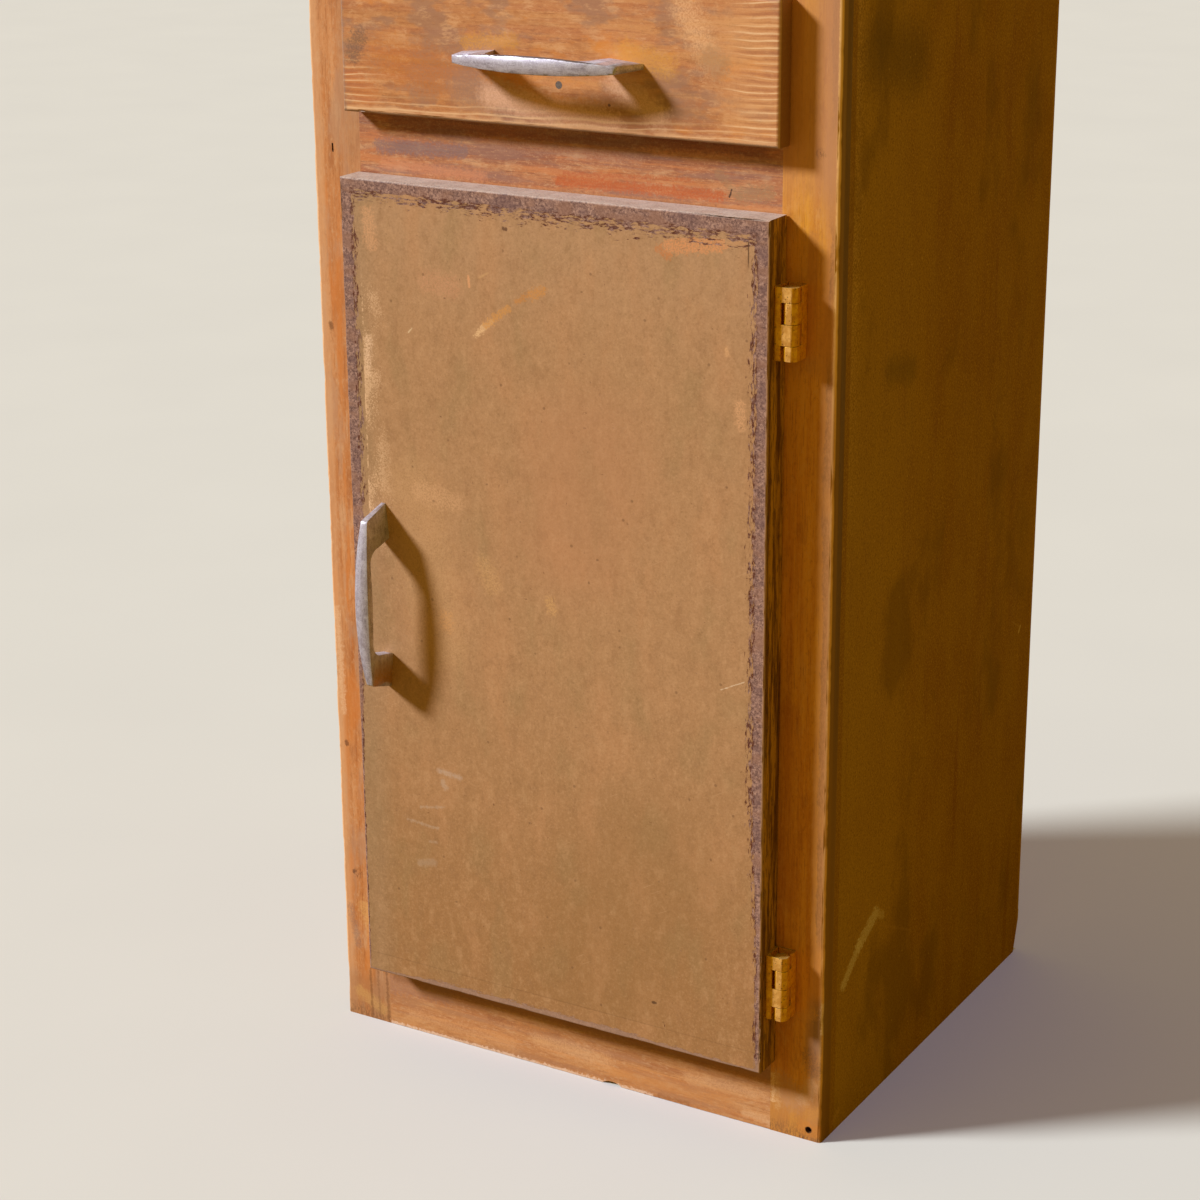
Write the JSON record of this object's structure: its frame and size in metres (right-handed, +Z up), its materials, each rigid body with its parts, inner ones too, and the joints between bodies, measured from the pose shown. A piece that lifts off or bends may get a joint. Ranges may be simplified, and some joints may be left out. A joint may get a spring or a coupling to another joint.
{
  "type": "side cabinet",
  "caption": "Narrow free-standing wooden kitchen side cabinet: a drawer over a lay-on door on a face frame, with bow handles and cranked hinges.",
  "frame": {"origin": "on the floor, under the middle of the cabinet's whole outer box (the box runs from the front of the door handle to the back panel)", "axes": "+Z up; the front with the door and drawer faces -Y; +X to the right of a person who looks at the front"},
  "size_m": [0.416, 0.4135, 0.864],
  "materials": {
    "stile_wood": "old stripped pine, waxed, worn",
    "rail_wood": "old stripped pine, waxed, worn",
    "middle_rail_wood": "stripped pine with remains of brown-red paint",
    "side_paint": "matt olive-brown paint on thin board",
    "top_wood": "stripped pine, waxed",
    "framing_wood": "bare softwood",
    "sheet_wood": "bare plywood",
    "runner_wood": "bare softwood, rubbed",
    "panel_pin_steel": "dull",
    "hinge_brass": "tarnished",
    "hinge_screw_brass": "tarnished",
    "catch_plastic": "matt",
    "screw_steel": "dull",
    "strike_steel": "dull",
    "door_paint": "matt olive-tan paint, scratched and scuffed",
    "lipping_paint": "matt olive-tan paint, worn through to old purple-brown paint at the edges",
    "handle_chrome": "satin, pitted",
    "drawer_front_wood": "stripped and waxed pine with open growth rings",
    "drawer_box_wood": "bare softwood",
    "drawer_bottom_wood": "bare plywood",
    "plug_filler": "dull wood filler"
  },
  "bodies": {
    "carcass": {"left_stile": "stile_wood", "right_stile": "stile_wood", "top_rail": "rail_wood", "middle_rail": "middle_rail_wood", "bottom_rail": "rail_wood", "left_side_panel": "side_paint", "right_side_panel": "side_paint", "top_board": "top_wood", "left_front_post": "framing_wood", "right_front_post": "framing_wood", "left_rear_post": "framing_wood", "right_rear_post": "framing_wood", "rear_top_rail": "framing_wood", "rear_middle_rail": "framing_wood", "rear_bottom_rail": "framing_wood", "back_panel": "sheet_wood", "back_panel_pins": "panel_pin_steel", "cupboard_floor": "sheet_wood", "left_floor_bearer": "framing_wood", "right_floor_bearer": "framing_wood", "shelf": "sheet_wood", "left_shelf_batten": "framing_wood", "right_shelf_batten": "framing_wood", "left_drawer_runner": "runner_wood", "right_drawer_runner": "runner_wood", "left_drawer_guide": "runner_wood", "right_drawer_guide": "runner_wood", "left_tilt_rail": "runner_wood", "right_tilt_rail": "runner_wood", "upper_hinge_frame_leaf": "hinge_brass", "lower_hinge_frame_leaf": "hinge_brass", "upper_hinge_pin": "hinge_brass", "lower_hinge_pin": "hinge_brass", "frame_leaf_screws": "hinge_screw_brass", "catch_body": "catch_plastic", "catch_screws": "screw_steel"},
    "door": {"door_core": "door_paint", "door_left_lipping": "lipping_paint", "door_right_lipping": "lipping_paint", "door_top_lipping": "lipping_paint", "door_bottom_lipping": "lipping_paint", "upper_hinge_door_leaf": "hinge_brass", "lower_hinge_door_leaf": "hinge_brass", "door_leaf_screws": "hinge_screw_brass", "door_handle": "handle_chrome", "door_handle_screws": "screw_steel", "strike_plate": "strike_steel", "strike_screws": "screw_steel"},
    "drawer": {"drawer_front": "drawer_front_wood", "drawer_box_front": "drawer_box_wood", "drawer_left_side": "drawer_box_wood", "drawer_right_side": "drawer_box_wood", "drawer_back": "drawer_box_wood", "drawer_bottom": "drawer_bottom_wood", "drawer_handle": "handle_chrome", "drawer_handle_screws": "screw_steel", "knob_hole_plug": "plug_filler"}
  },
  "joints": [
    {"name": "door_hinge", "type": "hinge", "parent": "carcass", "child": "door", "pos_m": [0.1773, -0.16425, 0.355], "axis": [0, 0, 1], "range_deg": [0, 155]},
    {"name": "drawer_slide", "type": "slide", "parent": "carcass", "child": "drawer", "axis": [0, -1, 0], "range_m": [0, 0.23]}
  ]
}
